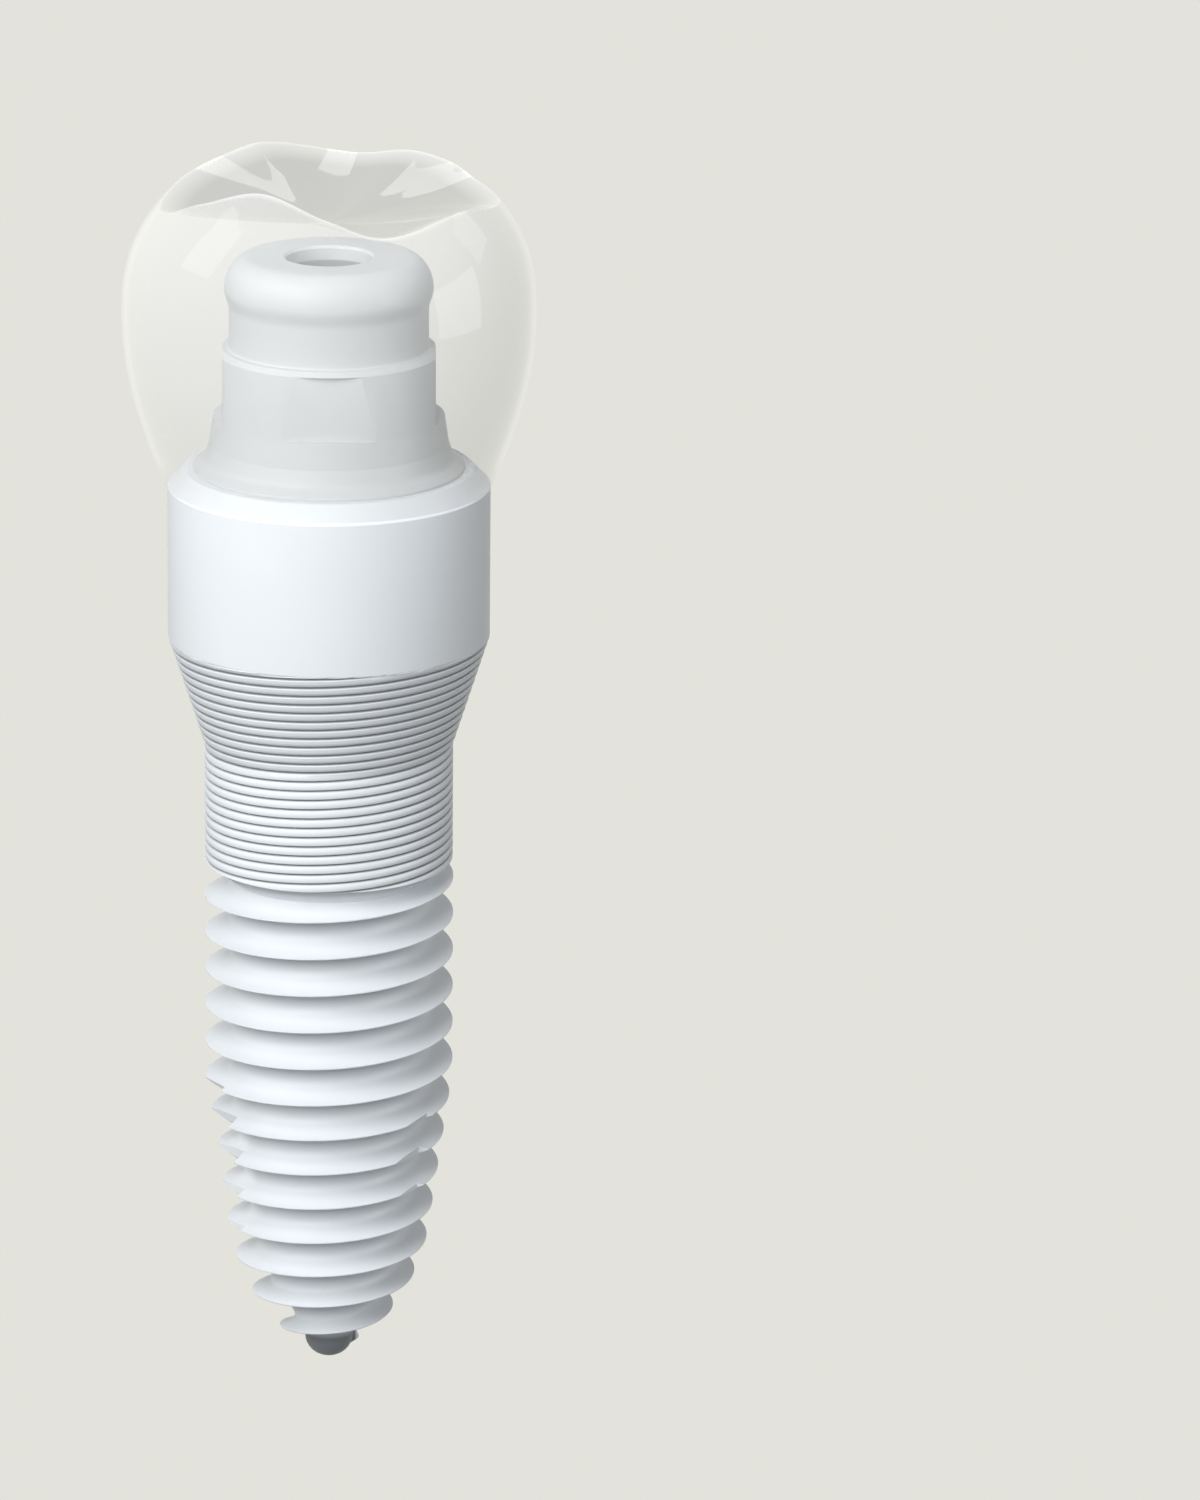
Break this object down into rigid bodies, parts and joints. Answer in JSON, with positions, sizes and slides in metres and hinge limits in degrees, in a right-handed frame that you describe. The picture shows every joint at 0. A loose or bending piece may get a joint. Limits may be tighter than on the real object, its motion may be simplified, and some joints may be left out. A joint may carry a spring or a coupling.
{
  "type": "dental implant",
  "caption": "Threaded titanium root with a flared smooth collar, an abutment post clamped by a small screw, and a translucent premolar crown over it.",
  "frame": {"origin": "centre of the shoulder on the fixture's axis, at the height of the collar's upper edge, where the bevel starts", "axes": "+Z along the fixture's axis towards the crown, -Y towards the cheek side, which the picture shows, +X to the right in the picture"},
  "size_m": [0.0064, 0.0064, 0.0194],
  "materials": {
    "titanium": "satin machined titanium",
    "titanium_abutment": "satin turned titanium",
    "titanium_screw": "turned titanium",
    "ceramic": "glazed translucent ceramic"
  },
  "bodies": {
    "root": {"implant_body": "titanium", "abutment": "titanium_abutment", "abutment_screw": "titanium_screw", "crown": "ceramic"}
  },
  "joints": []
}
